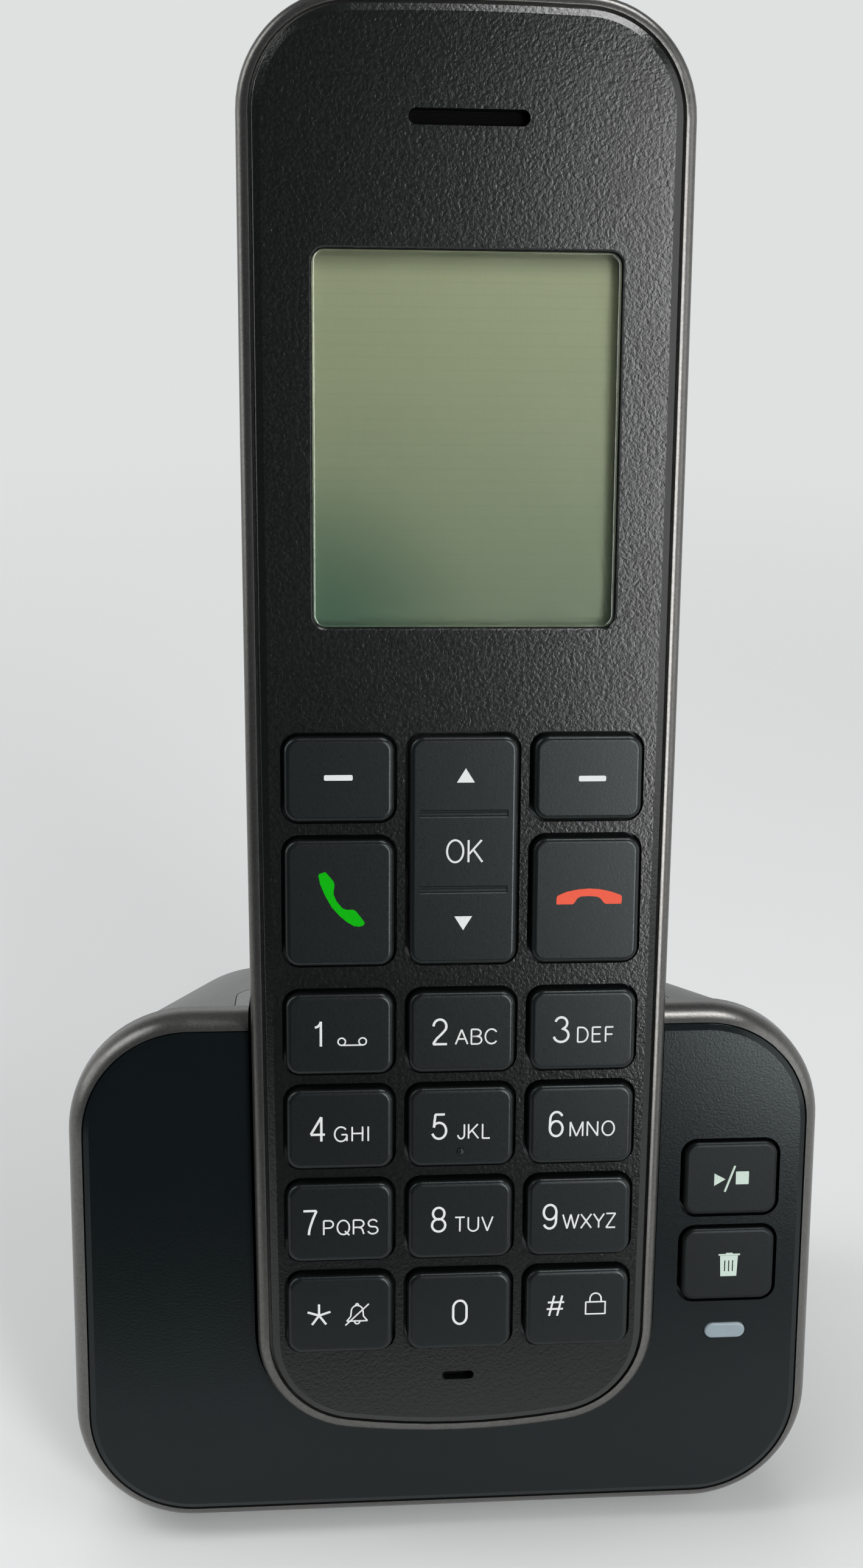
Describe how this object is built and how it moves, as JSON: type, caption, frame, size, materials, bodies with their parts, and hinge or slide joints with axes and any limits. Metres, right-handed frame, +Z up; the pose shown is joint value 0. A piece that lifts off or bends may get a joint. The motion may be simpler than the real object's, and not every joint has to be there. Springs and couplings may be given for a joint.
{
  "type": "cordless phone with base",
  "caption": "Cordless telephone handset with keypad and display, leaning in an answering machine charging base with keys and a status light.",
  "frame": {"origin": "on the table, under the middle of the box round the phone in its base", "axes": "+Z up, the front looks along -Y, +X to the right seen from the front"},
  "size_m": [0.0886, 0.0628, 0.1708],
  "materials": {
    "handset_black": "fine textured black",
    "gunmetal": "satin gunmetal paint",
    "base_black": "satin black",
    "housing_grey": "satin dark grey",
    "key_rubber": "matte charcoal",
    "inner_plastic": "moulded black",
    "window_clear": "clear acrylic",
    "lcd_glass": "olive liquid crystal glass",
    "circuit_board": "green solder mask",
    "silicone": "translucent silicone",
    "mesh": "black woven mesh",
    "cell_jacket": "shrink sleeve",
    "contact_metal": "nickel plated",
    "screw_steel": "black zinc",
    "light_pipe": "milky acrylic",
    "foot_rubber": "matte black"
  },
  "bodies": {
    "base": {"base_bezel": "gunmetal", "base_front_plate": "base_black", "base_rear_housing": "housing_grey", "base_bottom_tray": "housing_grey", "base_key_mat": "silicone", "key_board": "circuit_board", "status_light_pipe": "light_pipe", "main_board": "circuit_board", "base_speaker": "inner_plastic", "rubber_feet": "foot_rubber", "base_screws": "screw_steel", "line_socket": "inner_plastic", "power_socket": "inner_plastic"},
    "handset": {"handset_front_shell": "handset_black", "handset_rim": "gunmetal", "handset_rear_shell": "handset_black", "display_window": "window_clear", "lcd_panel": "lcd_glass", "lcd_holder": "inner_plastic", "handset_circuit_board": "circuit_board", "keymat": "silicone", "earpiece_speaker": "inner_plastic", "earpiece_mesh": "mesh", "microphone": "inner_plastic", "ringer_speaker": "inner_plastic", "battery_cell_left": "cell_jacket", "battery_cell_right": "cell_jacket", "battery_contacts": "contact_metal", "charge_pads": "contact_metal", "handset_screws": "screw_steel"},
    "battery_cover": {"battery_cover": "handset_black"},
    "nav_plunger": {"nav_plunger": "inner_plastic"},
    "nav_key": {"nav_key": "key_rubber"},
    "key_1": {"key_1": "key_rubber"},
    "key_2": {"key_2": "key_rubber"},
    "key_3": {"key_3": "key_rubber"},
    "key_4": {"key_4": "key_rubber"},
    "key_5": {"key_5": "key_rubber"},
    "key_6": {"key_6": "key_rubber"},
    "key_7": {"key_7": "key_rubber"},
    "key_8": {"key_8": "key_rubber"},
    "key_9": {"key_9": "key_rubber"},
    "key_star": {"key_star": "key_rubber"},
    "key_0": {"key_0": "key_rubber"},
    "key_hash": {"key_hash": "key_rubber"},
    "soft_key_left": {"soft_key_left": "key_rubber"},
    "soft_key_right": {"soft_key_right": "key_rubber"},
    "talk_key": {"talk_key": "key_rubber"},
    "end_key": {"end_key": "key_rubber"},
    "play_stop_key": {"play_stop_key": "key_rubber"},
    "delete_key": {"delete_key": "key_rubber"},
    "charge_contact_left": {"charge_contact_left": "contact_metal"},
    "charge_contact_right": {"charge_contact_right": "contact_metal"}
  },
  "joints": [
    {"name": "handset_lift", "type": "slide", "parent": "base", "child": "handset", "axis": [0, 0.2588, 0.9659], "range_m": [0, 0.12]},
    {"name": "battery_cover_swing", "type": "hinge", "parent": "handset", "child": "battery_cover", "pos_m": [0.0009, 0.00804, 0.07133], "axis": [-1, 0, 0], "range_deg": [0, 70]},
    {"name": "nav_press", "type": "slide", "parent": "handset", "child": "nav_plunger", "axis": [0, 0.9659, -0.2588], "range_m": [0, 0.0007], "stiffness_N_per_m": 400},
    {"name": "nav_rock", "type": "hinge", "parent": "nav_plunger", "child": "nav_key", "pos_m": [0.0009, -0.01094, 0.08262], "axis": [1, 0, 0], "range_deg": [-3, 3], "stiffness_Nm_per_rad": 0.03},
    {"name": "key_1_press", "type": "slide", "parent": "handset", "child": "key_1", "axis": [0, 0.9659, -0.2588], "range_m": [0, 0.0007], "stiffness_N_per_m": 400},
    {"name": "key_2_press", "type": "slide", "parent": "handset", "child": "key_2", "axis": [0, 0.9659, -0.2588], "range_m": [0, 0.0007], "stiffness_N_per_m": 400},
    {"name": "key_3_press", "type": "slide", "parent": "handset", "child": "key_3", "axis": [0, 0.9659, -0.2588], "range_m": [0, 0.0007], "stiffness_N_per_m": 400},
    {"name": "key_4_press", "type": "slide", "parent": "handset", "child": "key_4", "axis": [0, 0.9659, -0.2588], "range_m": [0, 0.0007], "stiffness_N_per_m": 400},
    {"name": "key_5_press", "type": "slide", "parent": "handset", "child": "key_5", "axis": [0, 0.9659, -0.2588], "range_m": [0, 0.0007], "stiffness_N_per_m": 400},
    {"name": "key_6_press", "type": "slide", "parent": "handset", "child": "key_6", "axis": [0, 0.9659, -0.2588], "range_m": [0, 0.0007], "stiffness_N_per_m": 400},
    {"name": "key_7_press", "type": "slide", "parent": "handset", "child": "key_7", "axis": [0, 0.9659, -0.2588], "range_m": [0, 0.0007], "stiffness_N_per_m": 400},
    {"name": "key_8_press", "type": "slide", "parent": "handset", "child": "key_8", "axis": [0, 0.9659, -0.2588], "range_m": [0, 0.0007], "stiffness_N_per_m": 400},
    {"name": "key_9_press", "type": "slide", "parent": "handset", "child": "key_9", "axis": [0, 0.9659, -0.2588], "range_m": [0, 0.0007], "stiffness_N_per_m": 400},
    {"name": "key_star_press", "type": "slide", "parent": "handset", "child": "key_star", "axis": [0, 0.9659, -0.2588], "range_m": [0, 0.0007], "stiffness_N_per_m": 400},
    {"name": "key_0_press", "type": "slide", "parent": "handset", "child": "key_0", "axis": [0, 0.9659, -0.2588], "range_m": [0, 0.0007], "stiffness_N_per_m": 400},
    {"name": "key_hash_press", "type": "slide", "parent": "handset", "child": "key_hash", "axis": [0, 0.9659, -0.2588], "range_m": [0, 0.0007], "stiffness_N_per_m": 400},
    {"name": "soft_key_left_press", "type": "slide", "parent": "handset", "child": "soft_key_left", "axis": [0, 0.9659, -0.2588], "range_m": [0, 0.0007], "stiffness_N_per_m": 400},
    {"name": "soft_key_right_press", "type": "slide", "parent": "handset", "child": "soft_key_right", "axis": [0, 0.9659, -0.2588], "range_m": [0, 0.0007], "stiffness_N_per_m": 400},
    {"name": "talk_key_press", "type": "slide", "parent": "handset", "child": "talk_key", "axis": [0, 0.9659, -0.2588], "range_m": [0, 0.0007], "stiffness_N_per_m": 400},
    {"name": "end_key_press", "type": "slide", "parent": "handset", "child": "end_key", "axis": [0, 0.9659, -0.2588], "range_m": [0, 0.0007], "stiffness_N_per_m": 400},
    {"name": "play_stop_key_press", "type": "slide", "parent": "base", "child": "play_stop_key", "axis": [0, 0.9659, -0.2588], "range_m": [0, 0.0006], "stiffness_N_per_m": 400},
    {"name": "delete_key_press", "type": "slide", "parent": "base", "child": "delete_key", "axis": [0, 0.9659, -0.2588], "range_m": [0, 0.0006], "stiffness_N_per_m": 400},
    {"name": "charge_contact_left_press", "type": "slide", "parent": "base", "child": "charge_contact_left", "axis": [0, -0.2588, -0.9659], "range_m": [0, 0.0006], "stiffness_N_per_m": 300},
    {"name": "charge_contact_right_press", "type": "slide", "parent": "base", "child": "charge_contact_right", "axis": [0, -0.2588, -0.9659], "range_m": [0, 0.0006], "stiffness_N_per_m": 300}
  ]
}
